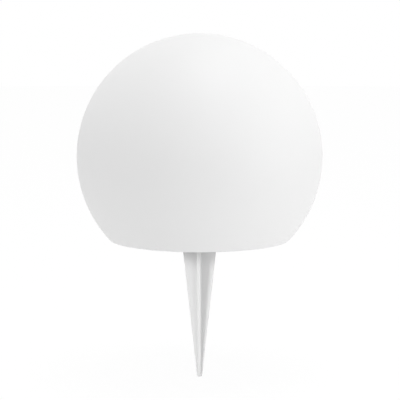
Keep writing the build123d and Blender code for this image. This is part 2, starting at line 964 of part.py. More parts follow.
def light_lead():
    """Flat twin lead with a little slack bowed out between its plugs."""
    low = plug_low + plug_height
    high = plug_high - plug_height
    points = [
        Vector(plug_place, 0, low),
        Vector(plug_place, 0, low + lead_end_run),
        Vector(plug_place + lead_bow, 0, (low + high) / 2),
        Vector(plug_place, 0, high - lead_end_run),
        Vector(plug_place, 0, high),
    ]
    radii = []
    for before, corner, after in zip(points, points[1:], points[2:]):
        run_in, run_out = corner - before, after - corner
        half_turn = radians(run_in.get_angle(run_out)) / 2
        shorter = min(run_in.length, run_out.length)
        radii.append(lead_bend_share * shorter / tan(half_turn))
    path = FilletPolyline(*points, radius=radii)
    lead = sweep(Pos(plug_place, 0, low) * Rectangle(lead_wall, lead_width), path=path)
    print("light lead", "length", round(path.length, 1), "bends", [round(r) for r in radii])
    return lead


# ---------------------------------------------------------------- every piece, in assembly order
pieces = {
    "ground_spike": ground_spike,
    "globe_shell": globe_shell,
    "threaded_inserts": threaded_inserts,
    "base_cap": base_cap,
    "base_seal": lambda: seal_ring(base_seal_radius, base_seal_width, dish_depth),
    "base_screws": base_screws,
    "port_seal": port_seal,
    "charging_socket": charging_socket,
    "port_flap": port_flap,
    "hinge_pin": hinge_pin,
    "power_button": power_button,
    "button_boot": button_boot,
    "button_switch": button_switch,
    "charge_light_guide": charge_light_guide,
    "vent_membrane": vent_membrane,
    "control_board": control_board,
    "board_parts": board_parts,
    "board_screws": board_screws,
    "battery_holder": battery_holder,
    "battery_cells": battery_cells,
    "cell_tabs": cell_tabs,
    "cell_pads": cell_pads,
    "holder_screws": holder_screws,
    "module_housing": module_housing,
    "module_seal": lambda: seal_ring(module_seal_radius, module_seal_width, dish_depth),
    "housing_screws": housing_screws,
    "heat_spreader": heat_spreader,
    "light_board": light_board,
    "light_chips": light_chips,
    "light_board_screws": light_board_screws,
    "cover_seal": lambda: seal_ring(cover_seal_radius, cover_seal_width, deck_top),
    "light_cover": light_cover,
    "cover_screws": cover_screws,
    "lead_plugs": lead_plugs,
    "light_lead": light_lead,
}

os.makedirs("parts", exist_ok=True)
for name, make in pieces.items():
    made = make()
    shape = Compound(children=made) if isinstance(made, list) else made
    export_step(shape, f"parts/{name}.step")
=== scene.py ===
from math import cos, pi, radians, sin

import bmesh
import bpy
from mathutils import Matrix, Vector


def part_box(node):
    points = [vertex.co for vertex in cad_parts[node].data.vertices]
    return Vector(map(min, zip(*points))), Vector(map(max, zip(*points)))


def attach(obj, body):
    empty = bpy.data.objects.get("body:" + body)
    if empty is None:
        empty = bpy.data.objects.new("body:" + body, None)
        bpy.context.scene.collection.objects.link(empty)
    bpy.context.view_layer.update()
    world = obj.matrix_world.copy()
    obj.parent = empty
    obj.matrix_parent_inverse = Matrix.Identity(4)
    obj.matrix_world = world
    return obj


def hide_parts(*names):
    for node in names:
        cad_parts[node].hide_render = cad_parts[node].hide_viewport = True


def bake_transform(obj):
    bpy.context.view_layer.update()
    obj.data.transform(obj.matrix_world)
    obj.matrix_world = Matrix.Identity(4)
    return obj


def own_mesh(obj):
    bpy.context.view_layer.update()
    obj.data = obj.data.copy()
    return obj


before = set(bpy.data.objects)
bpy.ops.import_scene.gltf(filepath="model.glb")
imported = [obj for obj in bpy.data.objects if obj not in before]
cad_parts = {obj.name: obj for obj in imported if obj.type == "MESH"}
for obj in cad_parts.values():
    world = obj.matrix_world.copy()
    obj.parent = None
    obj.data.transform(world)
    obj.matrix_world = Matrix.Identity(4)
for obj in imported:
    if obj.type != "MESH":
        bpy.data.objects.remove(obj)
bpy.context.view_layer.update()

# ---------------------------------------------------------------- camera
# A long lens 2.2 m from the ball's centre, nearly level with it and turned a little towards +X,
# so that the front rib of the blade shows a sliver of its other side.
ball_centre = Vector((0, 0, 0.102))
camera_distance = 2.2
camera_turn = radians(3.4)
camera_rise = radians(5.69)
camera_tilt = radians(7.08)
camera_yaw = radians(-0.013)
sensor_width = 36.0
focal_pixels = 1799.0
frame_pixels = 400
view_depth = 50.0

lens = bpy.data.cameras.new("studio_camera")
lens.sensor_width = sensor_width
lens.lens = focal_pixels * sensor_width / frame_pixels
lens.clip_end = view_depth
camera = bpy.data.objects.new("studio_camera", lens)
bpy.context.scene.collection.objects.link(camera)
level = camera_distance * cos(camera_rise)
camera.location = ball_centre + Vector(
    (level * sin(camera_turn), -level * cos(camera_turn), camera_distance * sin(camera_rise))
)
camera.rotation_euler = (radians(90) - camera_tilt, 0, camera_turn + camera_yaw)
bpy.context.scene.camera = camera
bpy.context.scene.view_settings.view_transform = "Standard"

# ---------------------------------------------------------------- studio
# A plain white floor under the blade's tip, open white all round, a soft box overhead and one
# on the right, and two lamps near the ground that light the spike alone.
plain_white = (1, 1, 1, 1)


def feed(tree, source, socket):
    """Gives a socket a plain value, or links another node's output to it."""
    if isinstance(source, bpy.types.NodeSocket):
        tree.links.new(source, socket)
    else:
        socket.default_value = source


def reckon(tree, operation, *terms):
    """Result of a Math node, whose terms are numbers or other nodes' outputs."""
    node = tree.nodes.new("ShaderNodeMath")
    node.operation = operation
    for term, socket in zip(terms, node.inputs):
        feed(tree, term, socket)
    return node.outputs[0]


def white_glow(tree, kind, strength):
    """Even white light, from the air or from a face."""
    node = tree.nodes.new(kind)
    node.inputs["Color"].default_value = plain_white
    node.inputs["Strength"].default_value = strength
    return node.outputs[0]


def mixed(tree, share, first, second):
    """Two shaders mixed by a share of the second."""
    node = tree.nodes.new("ShaderNodeMixShader")
    for source, socket in zip((share, first, second), node.inputs):
        feed(tree, source, socket)
    return node.outputs[0]


def white_where_seen(tree, lit, seen, seen_share):
    """A lit shader, which gives way to another where the camera, gloss or glass meets it."""
    ray = tree.nodes.new("ShaderNodeLightPath").outputs
    through = reckon(tree, "MAXIMUM", ray["Is Glossy Ray"], ray["Is Transmission Ray"])
    met = reckon(tree, "MAXIMUM", ray["Is Camera Ray"], through)
    return mixed(tree, reckon(tree, "MULTIPLY", met, seen_share), lit, seen)


world_strength = 0.796
world = bpy.data.worlds.new("studio_white")
world.use_nodes = True
bpy.context.scene.world = world
air = world.node_tree
air.nodes.clear()
air_light = white_glow(air, "ShaderNodeBackground", world_strength)
air_seen = white_glow(air, "ShaderNodeBackground", 1.0)
air_out = air.nodes.new("ShaderNodeOutputWorld")
air.links.new(white_where_seen(air, air_light, air_seen, 1.0), air_out.inputs["Surface"])

floor_radius, floor_sides = 6.0, 96
floor_white = 0.9
floor_seen_share = 0.9
floor_seen_strength = 1.02
floor_paint = bpy.data.materials.new("floor_paint")
floor_paint.use_nodes = True
paint_tree = floor_paint.node_tree
paint_tree.nodes.clear()
matt = paint_tree.nodes.new("ShaderNodeBsdfDiffuse")
matt.inputs["Color"].default_value = (floor_white, floor_white, floor_white, 1)
floor_seen = white_glow(paint_tree, "ShaderNodeEmission", floor_seen_strength)
upper_face = white_where_seen(paint_tree, matt.outputs[0], floor_seen, floor_seen_share)
underside = paint_tree.nodes.new("ShaderNodeNewGeometry").outputs["Backfacing"]
by_camera = paint_tree.nodes.new("ShaderNodeLightPath").outputs["Is Camera Ray"]
from_below = reckon(paint_tree, "MULTIPLY", underside, by_camera)
open_air = paint_tree.nodes.new("ShaderNodeBsdfTransparent").outputs[0]
paint_out = paint_tree.nodes.new("ShaderNodeOutputMaterial")
paint_tree.links.new(
    mixed(paint_tree, from_below, upper_face, open_air), paint_out.inputs["Surface"]
)

bm = bmesh.new()
bmesh.ops.create_circle(
    bm,
    cap_ends=True,
    segments=floor_sides,
    radius=floor_radius,
    matrix=Matrix.Translation((0, 0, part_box("ground_spike")[0].z)),
)
floor_mesh = bpy.data.meshes.new("studio_floor")
bm.to_mesh(floor_mesh)
bm.free()
floor = bpy.data.objects.new("studio_floor", floor_mesh)
bpy.context.scene.collection.objects.link(floor)
floor.data.materials.append(floor_paint)


def hang(name, light, place, target):
    """Puts a lamp in its place, turned to what it lights."""
    lamp = bpy.data.objects.new(name, light)
    bpy.context.scene.collection.objects.link(lamp)
    lamp.location = place
    lamp.rotation_euler = (target - lamp.location).to_track_quat("-Z", "Y").to_euler()
    return lamp


box_distance, box_width = 2.6, 1.2
top_direction, top_watts = (0.1, -0.1, 1.0), 14.6
side_direction, side_watts = (0.9, -0.35, 0.0), 14.4
for name, direction, watts in (
    ("top_lamp", top_direction, top_watts),
    ("side_lamp", side_direction, side_watts),
):
    soft_box = bpy.data.lights.new(name, "AREA")
    soft_box.shape = "SQUARE"
    soft_box.size = box_width
    soft_box.energy = watts
    place = ball_centre + Vector(direction).normalized() * box_distance
    hang(name, soft_box, place, ball_centre).visible_camera = False

blade_aim_share = 0.55
blade_middle = Vector((0, 0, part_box("ground_spike")[0].z * blade_aim_share))
blade_lamp_rise, blade_lamp_distance, blade_lamp_radius = radians(14.5), 1.6, 0.2
blade_beam, blade_beam_blend = radians(11), 0.25
left_turn, left_watts = radians(-38), 84.0
right_turn, right_watts = radians(22), 14.0
spike_alone = bpy.data.collections.new("spike_alone")
spike_alone.objects.link(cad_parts["ground_spike"])
reach = blade_lamp_distance * cos(blade_lamp_rise)
height = blade_lamp_distance * sin(blade_lamp_rise)
for name, turn, watts in (
    ("left_blade_lamp", left_turn, left_watts),
    ("right_blade_lamp", right_turn, right_watts),
):
    spot = bpy.data.lights.new(name, "SPOT")
    spot.energy = watts
    spot.shadow_soft_size = blade_lamp_radius
    spot.spot_size = blade_beam
    spot.spot_blend = blade_beam_blend
    towards = camera_turn + turn
    place = blade_middle + Vector((reach * sin(towards), -reach * cos(towards), height))
    lamp = hang(name, spot, place, blade_middle)
    lamp.light_linking.receiver_collection = spike_alone

# ---------------------------------------------------------------- ground spike
# One moulding in a pale grey outdoor plastic: a cross-ribbed blade, a round flange and a keyed
# peg. Its faces have the fine grain of a spark-eroded mould and a faint cloudiness.
cloud_scale, cloud_detail = 38, 3
gloss_drift = 0.05
wax_depth = 0.004


def workings(material):
    """A material's nodes, its main shader, and the piece's own coordinates."""
    tree = material.node_tree
    place = tree.nodes.new("ShaderNodeTexCoord").outputs["Object"]
    return tree, tree.nodes["Principled BSDF"], place


def speckle(tree, place, scale, detail=2.0):
    """Soft random spots over a piece."""
    node = tree.nodes.new("ShaderNodeTexNoise")
    node.inputs["Scale"].default_value = scale
    node.inputs["Detail"].default_value = detail
    tree.links.new(place, node.inputs["Vector"])
    return node.outputs["Fac"]


def toned(colour, by):
    """A colour made darker or lighter."""
    return (*(min(1, c * by) for c in colour), 1)


def tinted(tree, share, first, second):
    """Two colours, plain or from other nodes, blended by a share of the second."""
    node = tree.nodes.new("ShaderNodeMix")
    node.data_type = "RGBA"
    for socket, source in (("Factor", share), ("A", first), ("B", second)):
        feed(tree, source, node.inputs[socket])
    return node.outputs["Result"]


def ranged(tree, share, middle, drift):
    """A value that drifts to both sides of its middle."""
    node = tree.nodes.new("ShaderNodeMapRange")
    node.inputs["To Min"].default_value = middle - drift
    node.inputs["To Max"].default_value = middle + drift
    tree.links.new(share, node.inputs["Value"])
    return node.outputs["Result"]


def raised(tree, height, depth, under=None):
    """Relief of a given depth, laid over another if there is one."""
    node = tree.nodes.new("ShaderNodeBump")
    node.inputs["Distance"].default_value = depth
    tree.links.new(height, node.inputs["Height"])
    if under:
        tree.links.new(under, node.inputs["Normal"])
    return node.outputs["Normal"]


def moulded(name, colour, roughness, grain=0.0004, grain_depth=0.00002, cloud=0.03, wax=0.0):
    """Moulded plastic or rubber: a fine grain in its surface, and colour and gloss that drift."""
    material = bpy.data.materials.new(name)
    material.use_nodes = True
    tree, body, place = workings(material)
    drift = speckle(tree, place, cloud_scale, cloud_detail)
    tint = tinted(tree, drift, toned(colour, 1 - cloud), toned(colour, 1 + cloud))
    pits = speckle(tree, place, 1 / grain)
    tree.links.new(tint, body.inputs["Base Color"])
    tree.links.new(ranged(tree, drift, roughness, gloss_drift), body.inputs["Roughness"])
    tree.links.new(raised(tree, pits, grain_depth), body.inputs["Normal"])
    if wax:
        body.inputs["Subsurface Weight"].default_value = wax
        body.inputs["Subsurface Radius"].default_value = (1, 1, 1)
        body.inputs["Subsurface Scale"].default_value = wax_depth
    return material


def finish(node, material):
    """Gives a CAD piece its material."""
    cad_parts[node].material_slots[0].material = material


spike_plastic = moulded("spike_plastic", (0.66, 0.66, 0.66), roughness=0.42, cloud=0.012)
finish("ground_spike", spike_plastic)

# ---------------------------------------------------------------- ball
# Rotationally moulded milky polyethylene, one skin with a dish turned up into its flat base.
# Its outside is satin, with the very fine sand-blasted grain of its mould.
milky_skin = moulded(
    "milky_skin",
    (0.88, 0.88, 0.88),
    roughness=0.55,
    grain=0.0006,
    grain_depth=0.00003,
    cloud=0.006,
    wax=0.3,
)
finish("globe_shell", milky_skin)

# ---------------------------------------------------------------- threaded inserts
# Four turned brass sleeves with a threaded bore and a ringed outside. They are put in the mould
# before the ball is made, so that its skin grips them in bosses over the dish's floor.
metal_dark, metal_light = 0.9, 1.08
metal_gloss_drift = 0.1
mark_detail = 4
scratch_depth = 0.00001
ring_at_scale_one = 0.314
thread_pitch, thread_depth_share = 0.0007, 1 / 3


def metal(name, colour, roughness, streak=(1, 1, 1), streak_scale=900, thread=0.0):
    """Bare metal with fine tool or rolling marks, and rings at a thread's pitch if it has one."""
    material = bpy.data.materials.new(name)
    material.use_nodes = True
    tree, body, place = workings(material)
    body.inputs["Metallic"].default_value = 1.0
    stretch = tree.nodes.new("ShaderNodeMapping")
    stretch.inputs["Scale"].default_value = streak
    tree.links.new(place, stretch.inputs["Vector"])
    marks = speckle(tree, stretch.outputs["Vector"], streak_scale, mark_detail)
    tint = tinted(tree, marks, toned(colour, metal_dark), toned(colour, metal_light))
    grooves = None
    if thread:
        rings = tree.nodes.new("ShaderNodeTexWave")
        rings.bands_direction = "Z"
        rings.inputs["Scale"].default_value = ring_at_scale_one / thread
        tree.links.new(place, rings.inputs["Vector"])
        grooves = raised(tree, rings.outputs["Fac"], thread * thread_depth_share)
    tree.links.new(tint, body.inputs["Base Color"])
    tree.links.new(ranged(tree, marks, roughness, metal_gloss_drift), body.inputs["Roughness"])
    tree.links.new(raised(tree, marks, scratch_depth, grooves), body.inputs["Normal"])
    return material


turned_brass = metal("turned_brass", (0.71, 0.58, 0.32), roughness=0.3, thread=thread_pitch)
finish("threaded_inserts", turned_brass)

# ---------------------------------------------------------------- base cap
# Moulded in the ball's white, with the spike's socket, its ribs and every seat in one piece.
# A silicone ring seals it against the dish, and four stainless screws pull it home.
cap_plastic = moulded("cap_plastic", (0.84, 0.84, 0.84), roughness=0.5, cloud=0.012)
silicone = moulded(
    "silicone", (0.42, 0.43, 0.44), roughness=0.6, grain=0.0003, grain_depth=0.00001, wax=0.15
)
stainless = metal("stainless", (0.62, 0.62, 0.63), roughness=0.28)
finish("base_cap", cap_plastic)
finish("base_seal", silicone)
finish("base_screws", stainless)

# ---------------------------------------------------------------- charging port
# A drawn steel socket with a black tongue and gilt contacts stands on the board, inside a soft
# frame. A rubber flap on a steel pin plugs the port from below.
port_middle = (0.0, 0.034)
tongue_half = (0.00345, 0.0005)
contact_pitch, contact_share = 0.0005, 0.45


def axes_of(tree, place):
    """A place's X, Y and Z apart."""
    node = tree.nodes.new("ShaderNodeSeparateXYZ")
    tree.links.new(place, node.inputs["Vector"])
    return node.outputs


def socket_metal(name, steel, plastic, gilt):
    """Drawn steel whose tongue, found by its place, is black with a row of gilt contacts."""
    material = metal(name, steel, roughness=0.3, streak=(1, 1, 0.1))
    tree, body, place = workings(material)
    axes = axes_of(tree, place)
    across, along = (
        reckon(tree, "COMPARE", axes[axis], middle, half)
        for axis, middle, half in zip("XY", port_middle, tongue_half)
    )
    tongue = reckon(tree, "MULTIPLY", across, along)
    count = reckon(tree, "PINGPONG", axes["X"], contact_pitch)
    strip = reckon(tree, "LESS_THAN", count, contact_pitch * contact_share)
    contacts = tinted(tree, strip, (*plastic, 1), (*gilt, 1))
    steel_colour = body.inputs["Base Color"].links[0].from_socket
    tree.links.new(tinted(tree, tongue, steel_colour, contacts), body.inputs["Base Color"])
    bare = reckon(tree, "SUBTRACT", 1.0, tongue)
    tree.links.new(reckon(tree, "MULTIPLY_ADD", tongue, strip, bare), body.inputs["Metallic"])
    return material


drawn_steel, black_tongue, gilt_strip = (0.66, 0.66, 0.67), (0.03, 0.03, 0.03), (0.8, 0.62, 0.25)
socket_steel = socket_metal("socket_steel", drawn_steel, black_tongue, gilt_strip)
flap_rubber = moulded(
    "flap_rubber", (0.60, 0.60, 0.61), roughness=0.7, grain=0.0003, grain_depth=0.00003
)
finish("port_seal", silicone)
finish("charging_socket", socket_steel)
finish("port_flap", flap_rubber)
finish("hinge_pin", stainless)

# ---------------------------------------------------------------- power button
# A satin key with a flange that keeps it in the cap. A silicone boot over its stem keeps water
# from the push switch, which hangs under the board.
crease = radians(35)
seam = 1e-7


def cuboid(size, foot, edge=0.0):
    """Upright box that stands on a point, with its edges rounded."""
    shape = bmesh.new()
    middle = Vector(foot) + Vector((0, 0, size[2] / 2))
    bmesh.ops.create_cube(
        shape, size=1, matrix=Matrix.Translation(middle) @ Matrix.Diagonal((*size, 1))
    )
    if edge:
        bmesh.ops.bevel(
            shape,
            geom=shape.edges[:],
            offset=edge,
            affect="EDGES",
            segments=2,
            profile=0.5,
            material=-1,
        )
    return shape


def turned(profile, foot, steps=48):
    """Solid of revolution about an upright axis, from the radius and height of each corner."""
    shape = bmesh.new()
    corners = [shape.verts.new((radius, 0, height)) for radius, height in profile]
    edges = [shape.edges.new(pair) for pair in zip(corners, corners[1:])]
    if profile[0][0] > 0:
        edges.append(shape.edges.new((corners[-1], corners[0])))
    bmesh.ops.spin(
        shape,
        geom=corners + edges,
        axis=(0, 0, 1),
        cent=(0, 0, 0),
        angle=2 * pi,
        steps=steps,
        use_merge=True,
    )
    bmesh.ops.remove_doubles(shape, verts=shape.verts[:], dist=seam)
    bmesh.ops.recalc_face_normals(shape, faces=shape.faces[:])
    bmesh.ops.translate(shape, verts=shape.verts[:], vec=foot)
    return shape


def disc(radius, height, foot, steps=48):
    """Plain round slab."""
    return turned(((0, 0), (radius, 0), (radius, height), (0, height)), foot, steps)


def add(whole, shape, paint=None):
    """Joins a finished shape to a piece, and gives it the piece's material of that number."""
    if paint is not None:
        for face in shape.faces:
            face.material_index = paint
    part = bpy.data.meshes.new("part")
    shape.to_mesh(part)
    shape.free()
    whole.from_mesh(part)
    bpy.data.meshes.remove(part)


def new_piece(name, whole, materials, slot, *nodes):
    """Makes a piece of a finished shape, which stands for its CAD nodes."""
    for edge in whole.edges:
        edge.smooth = edge.calc_face_angle(0) < crease
    for face in whole.faces:
        face.smooth = True
    mesh = bpy.data.meshes.new(name)
    whole.to_mesh(mesh)
    whole.free()
    for material in materials:
        mesh.materials.append(material)
    made = bpy.data.objects.new(name, mesh)
    bpy.context.scene.collection.objects.link(made)
    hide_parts(*nodes)
    return made


key_plastic = moulded(
    "key_plastic", (0.62, 0.63, 0.64), roughness=0.38, grain=0.0003, grain_depth=0.00001
)
finish("power_button", key_plastic)

button_place = (0.0, -0.0318)
boot_foot, boot_rim_high, boot_crown_low, boot_crown_high = 0.0125, 0.0140, 0.01605, 0.01705
boot_bore, boot_rim, boot_edge, boot_steps = 0.0076, 0.0090, 0.0001, 64
boot_profile = (
    (0, boot_crown_low),
    (0.0029, boot_crown_low),
    (0.0034, 0.0160),
    (0.0048, 0.0155),
    (0.0060, 0.0150),
    (0.0067, 0.0144),
    (0.0072, 0.0136),
    (boot_bore, 0.0132),
    (boot_bore, boot_foot + boot_edge),
    (boot_bore + boot_edge, boot_foot),
    (boot_rim - boot_edge, boot_foot),
    (boot_rim, boot_foot + boot_edge),
    (boot_rim, boot_rim_high - boot_edge),
    (boot_rim - boot_edge, boot_rim_high),
    (0.0082, boot_rim_high),
    (0.0078, 0.0144),
    (0.0073, 0.0150),
    (0.0063, 0.0156),
    (0.0050, 0.0163),
    (0.0037, 0.0169),
    (0.0032, boot_crown_high),
    (0, boot_crown_high),
)
boot_cup = bmesh.new()
add(boot_cup, turned(boot_profile, (*button_place, 0), boot_steps))
boot = new_piece("silicone_boot", boot_cup, (silicone,), "silicone", "button_boot")
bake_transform(boot)

epoxy = moulded(
    "black_moulding",
    (0.035, 0.035, 0.036),
    roughness=0.5,
    grain=0.00015,
    grain_depth=0.00001,
    cloud=0.1,
)
bright_tin = metal("bright_tin", (0.72, 0.72, 0.71), roughness=0.3)
switch_low, switch_high = 0.0189, 0.0220
switch_side, switch_plate, switch_edge = 0.0058, 0.0003, 0.00015
plate_edge = 0.0001
rivet_radius, rivet_height, rivet_place, rivet_steps = 0.0004, 0.0003, 0.0022, 16
leg_wall, leg_width, leg_out, leg_apart = 0.0001, 0.0007, 0.00295, 0.00225
plate_low = switch_low + switch_plate / 2
plate_top = plate_low + switch_plate
x, y = button_place
switch = bmesh.new()
body_size = (switch_side, switch_side, switch_high - plate_top)
add(switch, cuboid(body_size, (x, y, plate_top), switch_edge))
plate_size = (switch_side, switch_side, switch_plate)
add(switch, cuboid(plate_size, (x, y, plate_low), plate_edge), 1)
for across in (-1, 1):
    for along in (-1, 1):
        spot = (x + across * rivet_place, y + along * rivet_place, switch_low)
        add(switch, disc(rivet_radius, rivet_height, spot, rivet_steps))
        spot = (x + across * leg_out, y + along * leg_apart, plate_low)
        add(switch, cuboid((leg_wall, leg_width, switch_high - plate_low), spot), 1)
push_switch = new_piece(
    "push_switch", switch, (epoxy, bright_tin), "black_parts", "button_switch"
)
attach(push_switch, "lamp")

plunger_low, plunger_radius, plunger_edge = 0.0178, 0.0017, 0.0002
plunger_profile = (
    (0, plunger_low),
    (plunger_radius - plunger_edge, plunger_low),
    (plunger_radius, plunger_low + plunger_edge),
    (plunger_radius, plate_low),
    (0, plate_low),
)
plunger = bmesh.new()
add(plunger, turned(plunger_profile, (x, y, 0)))
switch_plunger = new_piece("switch_plunger", plunger, (epoxy,), "black_parts", "button_switch")
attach(switch_plunger, "lamp")
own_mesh(switch_plunger)

# ---------------------------------------------------------------- charge light guide and vent
# A clear acrylic rod with a head that keeps it in the cap, and a welded disc of stretched
# fluoropolymer that lets the sealed ball breathe.
acrylic_index, guide_through = 1.49, 0.5
frost_detail = 3
felt_roughness, felt_twist = 0.85, 0.6
felt_lay = ((0.4, (1, 0.15, 1)), (1.9, (0.15, 1, 1)))


def clear(name, colour, roughness, frost, frost_depth, index, through=1.0):
    """Clear or frosted plastic that lets a share of the light through, its face uneven."""
    material = bpy.data.materials.new(name)
    material.use_nodes = True
    tree, body, place = workings(material)
    body.inputs["Base Color"].default_value = (*colour, 1)
    body.inputs["Roughness"].default_value = roughness
    body.inputs["IOR"].default_value = index
    body.inputs["Transmission Weight"].default_value = through
    grit = speckle(tree, place, 1 / frost, frost_detail)
    tree.links.new(raised(tree, grit, frost_depth), body.inputs["Normal"])
    return material


def felted(name, colour, fibre, depth):
    """Pressed fibres, drawn out of spots that are stretched two ways."""
    material = moulded(name, colour, felt_roughness, cloud=0.05)
    tree, body, place = workings(material)
    normal = None
    for turn, stretch in felt_lay:
        lay = tree.nodes.new("ShaderNodeMapping")
        lay.inputs["Rotation"].default_value = (0, 0, turn)
        lay.inputs["Scale"].default_value = stretch
        tree.links.new(place, lay.inputs["Vector"])
        fibres = speckle(tree, lay.outputs["Vector"], 1 / fibre)
        fibres.node.inputs["Distortion"].default_value = felt_twist
        normal = raised(tree, fibres, depth, normal)
    tree.links.new(normal, body.inputs["Normal"])
    return material


guide_clear = clear(
    "guide_clear",
    (0.92, 0.94, 0.95),
    roughness=0.2,
    frost=0.002,
    frost_depth=0.00001,
    index=acrylic_index,
    through=guide_through,
)
vent_cloth = felted("vent_cloth", (0.76, 0.76, 0.75), fibre=0.0003, depth=0.00004)
finish("charge_light_guide", guide_clear)
finish("vent_membrane", vent_cloth)

# ---------------------------------------------------------------- control board
# Glass-epoxy laminate with copper tracks under a green mask and bare pale edges. It carries a
# wound coil, three chips, a capacitor and, underneath, the charge light.
mask_wall = 0.00003
track_height = 0.00004
board_roughness = 0.32
track_length, track_pitch, track_offset = 0.0061, 0.0011, 0.37
track_gap, track_blur = 0.00016, 0.2
routed_scale, routed_from = 90, 0.48


def laminate(name, node, mask, track, edge):
    """Circuit board: tracks show through the mask on both faces, and its cut edges are bare."""
    material = bpy.data.materials.new(name)
    material.use_nodes = True
    tree, body, place = workings(material)
    body.inputs["Roughness"].default_value = board_roughness
    tracks = tree.nodes.new("ShaderNodeTexBrick")
    tracks.offset = track_offset
    tracks.inputs["Scale"].default_value = 1
    tracks.inputs["Brick Width"].default_value = track_length
    tracks.inputs["Row Height"].default_value = track_pitch
    tracks.inputs["Mortar Size"].default_value = track_gap
    tracks.inputs["Mortar Smooth"].default_value = track_blur
    tree.links.new(place, tracks.inputs["Vector"])
    routed = reckon(tree, "GREATER_THAN", speckle(tree, place, routed_scale), routed_from)
    copper = reckon(tree, "MULTIPLY", tracks.outputs["Fac"], routed)
    face = tinted(tree, copper, (*mask, 1), (*track, 1))
    low, high = (corner.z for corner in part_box(node))
    inner_half = (high - low) / 2 - mask_wall
    cut = reckon(tree, "COMPARE", axes_of(tree, place)["Z"], (low + high) / 2, inner_half)
    tree.links.new(tinted(tree, cut, face, (*edge, 1)), body.inputs["Base Color"])
    tree.links.new(raised(tree, copper, track_height), body.inputs["Normal"])
    return material


green_mask, green_track, bare_edge = (0.03, 0.2, 0.09), (0.06, 0.3, 0.12), (0.45, 0.5, 0.3)
board_green = laminate("board_green", "control_board", green_mask, green_track, bare_edge)
finish("control_board", board_green)

board_low, board_top = 0.0220, 0.0236
small_edge = 0.0001
copper_wire = metal(
    "enamelled_copper", (0.55, 0.27, 0.13), roughness=0.35, streak=(1, 1, 12), streak_scale=400
)
ferrite = moulded(
    "ferrite", (0.09, 0.09, 0.1), roughness=0.6, grain=0.0002, grain_depth=0.00003, cloud=0.2
)
can_metal = metal("can_aluminium", (0.78, 0.78, 0.8), roughness=0.3)
pale_case = moulded(
    "pale_case", (0.85, 0.85, 0.82), roughness=0.45, grain=0.0002, grain_depth=0.00001
)
phosphor = moulded(
    "phosphor",
    (0.93, 0.78, 0.32),
    roughness=0.35,
    grain=0.0002,
    grain_depth=0.00001,
    cloud=0.05,
    wax=0.2,
)
board_finishes = (epoxy, bright_tin, copper_wire, ferrite, can_metal, pale_case, phosphor)
black, tin, copper, core, can_skin, case, glow = range(len(board_finishes))
components = bmesh.new()

coil_spot, coil_side, coil_height = (-0.022, 0.013), 0.007, 0.0032
coil_base, coil_base_edge = 0.0006, 0.0002
spool_foot, spool_foot_radius, spool_top_radius = 0.0002, 0.0033, 0.0034
waist_radius, wire_radius, wire_crown, wire_notch = 0.0017, 0.0029, 0.00305, 0.00002
turn_pitch, turn_count = 0.00038, 5
terminal = (0.0003, 0.0032, 0.0012)
winding_top = spool_foot + turn_count * turn_pitch
spool_top = coil_height - coil_base
add(
    components,
    cuboid((coil_side, coil_side, coil_base), (*coil_spot, board_top), coil_base_edge),
    core,
)
coil_foot = (*coil_spot, board_top + coil_base)
spool = (
    (0, 0),
    (spool_foot_radius, 0),
    (spool_foot_radius, spool_foot),
    (waist_radius, spool_foot),
    (waist_radius, winding_top),
    (spool_top_radius, winding_top),
    (spool_top_radius, spool_top - small_edge),
    (spool_top_radius - small_edge, spool_top),
    (0, spool_top),
)
add(components, turned(spool, coil_foot), core)
for n in range(turn_count):
    low = spool_foot + n * turn_pitch
    high = low + turn_pitch
    loop = (
        (waist_radius, low),
        (wire_radius, low + wire_notch),
        (wire_crown, (low + high) / 2),
        (wire_radius, high - wire_notch),
        (waist_radius, high),
    )
    add(components, turned(loop, coil_foot), copper)
for side in (-1, 1):
    spot = (coil_spot[0] + side * (coil_side - terminal[0]) / 2, coil_spot[1], board_top)
    add(components, cuboid(terminal, spot, small_edge), tin)

flat_spot, flat_side, flat_height = (-0.025, -0.009), 0.005, 0.001
pad_length, pad_width, pad_height = 0.0004, 0.00025, 0.0002
pad_pitch, pads_a_side = 0.0005, 7
flat_body = flat_side - pad_length / 2
add(
    components,
    cuboid((flat_body, flat_body, flat_height), (*flat_spot, board_top), small_edge),
    black,
)
for side in (-1, 1):
    for n in range(pads_a_side):
        run = (n - (pads_a_side - 1) / 2) * pad_pitch
        out = side * (flat_side - pad_length) / 2
        spot = (flat_spot[0] + out, flat_spot[1] + run, board_top)
        add(components, cuboid((pad_length, pad_width, pad_height), spot), tin)
        spot = (flat_spot[0] + run, flat_spot[1] + out, board_top)
        add(components, cuboid((pad_width, pad_length, pad_height), spot), tin)

chip_lift, chip_edge, leg_strip = 0.00012, 0.00012, 0.00015


def winged_chip(size, spot, body_width, legs_a_side, pitch, leg_width):
    """Black chip body held off the board by bent tin legs along two sides."""
    width, depth, height = size
    body = (body_width, depth, height - chip_lift)
    add(components, cuboid(body, (*spot, board_top + chip_lift), chip_edge), black)
    leg_run = (width - body_width) / 2
    shoulder_high = board_top + height / 2
    parts = (
        (leg_run / 4, (leg_run / 2 + leg_strip, leg_width, leg_strip), shoulder_high),
        (leg_run / 2, (leg_strip, leg_width, height / 2), board_top),
        (leg_run * 0.7, (leg_run * 0.6, leg_width, leg_strip), board_top),
    )
    for side in (-1, 1):
        for n in range(legs_a_side):
            along = spot[1] + (n - (legs_a_side - 1) / 2) * pitch
            for out, part, low in parts:
                across = spot[0] + side * (body_width / 2 + out)
                add(components, cuboid(part, (across, along, low)), tin)


winged_chip(
    size=(0.006, 0.004, 0.0012),
    spot=(0.017, -0.023),
    body_width=0.0039,
    legs_a_side=3,
    pitch=0.00127,
    leg_width=0.00042,
)
winged_chip(
    size=(0.003, 0.003, 0.001),
    spot=(0.019, 0.020),
    body_width=0.0017,
    legs_a_side=2,
    pitch=0.0019,
    leg_width=0.0004,
)

